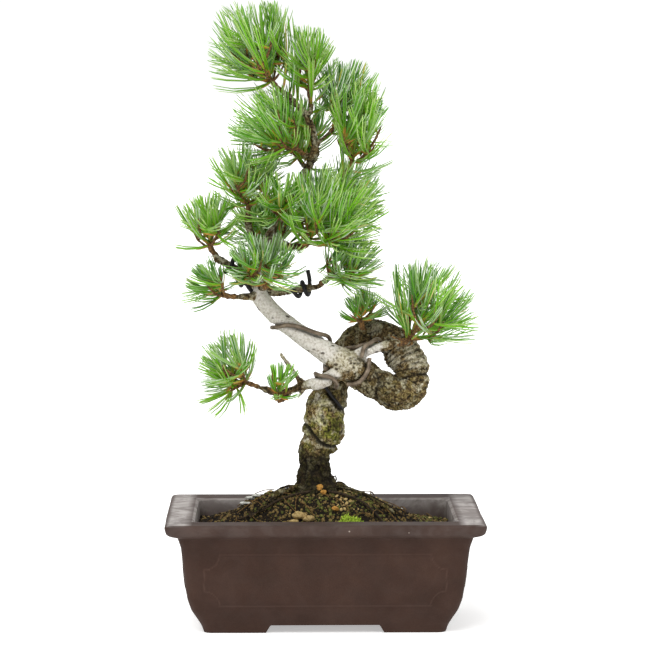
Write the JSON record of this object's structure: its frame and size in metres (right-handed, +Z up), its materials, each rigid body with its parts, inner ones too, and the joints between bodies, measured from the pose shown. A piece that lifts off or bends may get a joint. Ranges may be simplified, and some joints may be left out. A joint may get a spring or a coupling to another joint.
{
  "type": "potted bonsai tree",
  "caption": "Japanese white pine bonsai with a looped, wired trunk and tufts of long needles, in a rectangular stoneware pot on corner feet.",
  "frame": {"origin": "middle of the pot's underside, on the table", "axes": "+X to the right in the picture, along the pot's length; +Y away from the camera; +Z up"},
  "size_m": [0.18, 0.118, 0.3561],
  "materials": {
    "stoneware": "unglazed, dark brown, matt, with a dusty rim",
    "soil": "fired clay grains and grit, matt",
    "trunk_bark": "rough bark, grey and green-brown, with moss at the foot",
    "root_bark": "rough dark bark",
    "pale_bark": "smooth pale grey bark",
    "brown_bark": "thin brown bark",
    "needles": "green needles with blue-white inner faces",
    "bronze_wire": "anodised bronze-brown",
    "black_wire": "dark anodised, weathered"
  },
  "bodies": {
    "root": {"bough_crown_back_low": "brown_bark", "bough_crown_back_right": "brown_bark", "bough_crown_back_upper": "brown_bark", "bough_crown_centre": "brown_bark", "bough_crown_front": "brown_bark", "bough_crown_left": "brown_bark", "bough_crown_low_left": "brown_bark", "bough_crown_low_right": "brown_bark", "bough_crown_mid_front": "brown_bark", "bough_crown_mid_left": "brown_bark", "bough_crown_top_middle": "brown_bark", "bough_crown_top_right": "brown_bark", "bough_crown_upper_left": "brown_bark", "bough_crown_upper_right": "brown_bark", "bough_loop": "pale_bark", "bough_low_left": "pale_bark", "bough_low_right": "pale_bark", "cut_stub": "pale_bark", "dead_twig_lower": "brown_bark", "dead_twig_upper": "brown_bark", "needles_back_low": "needles", "needles_back_right": "needles", "needles_back_upper": "needles", "needles_centre": "needles", "needles_front": "needles", "needles_left": "needles", "needles_loop": "needles", "needles_low_inner": "needles", "needles_low_left": "needles", "needles_low_left_crown": "needles", "needles_low_right_crown": "needles", "needles_mid_front": "needles", "needles_mid_left": "needles", "needles_right": "needles", "needles_tip": "needles", "needles_top_middle": "needles", "needles_top_right": "needles", "needles_upper_left": "needles", "needles_upper_right": "needles", "pot": "stoneware", "root_back": "root_bark", "root_left": "root_bark", "root_right": "root_bark", "soil": "soil", "trunk": "trunk_bark", "twig_low_inner": "brown_bark", "wire_crown_left": "black_wire", "wire_crown_low_right": "black_wire", "wire_fork": "bronze_wire", "wire_fork_back": "bronze_wire", "wire_knob": "bronze_wire", "wire_low_right": "bronze_wire", "wire_old": "black_wire", "wire_pale_stretch": "bronze_wire"}
  },
  "joints": []
}
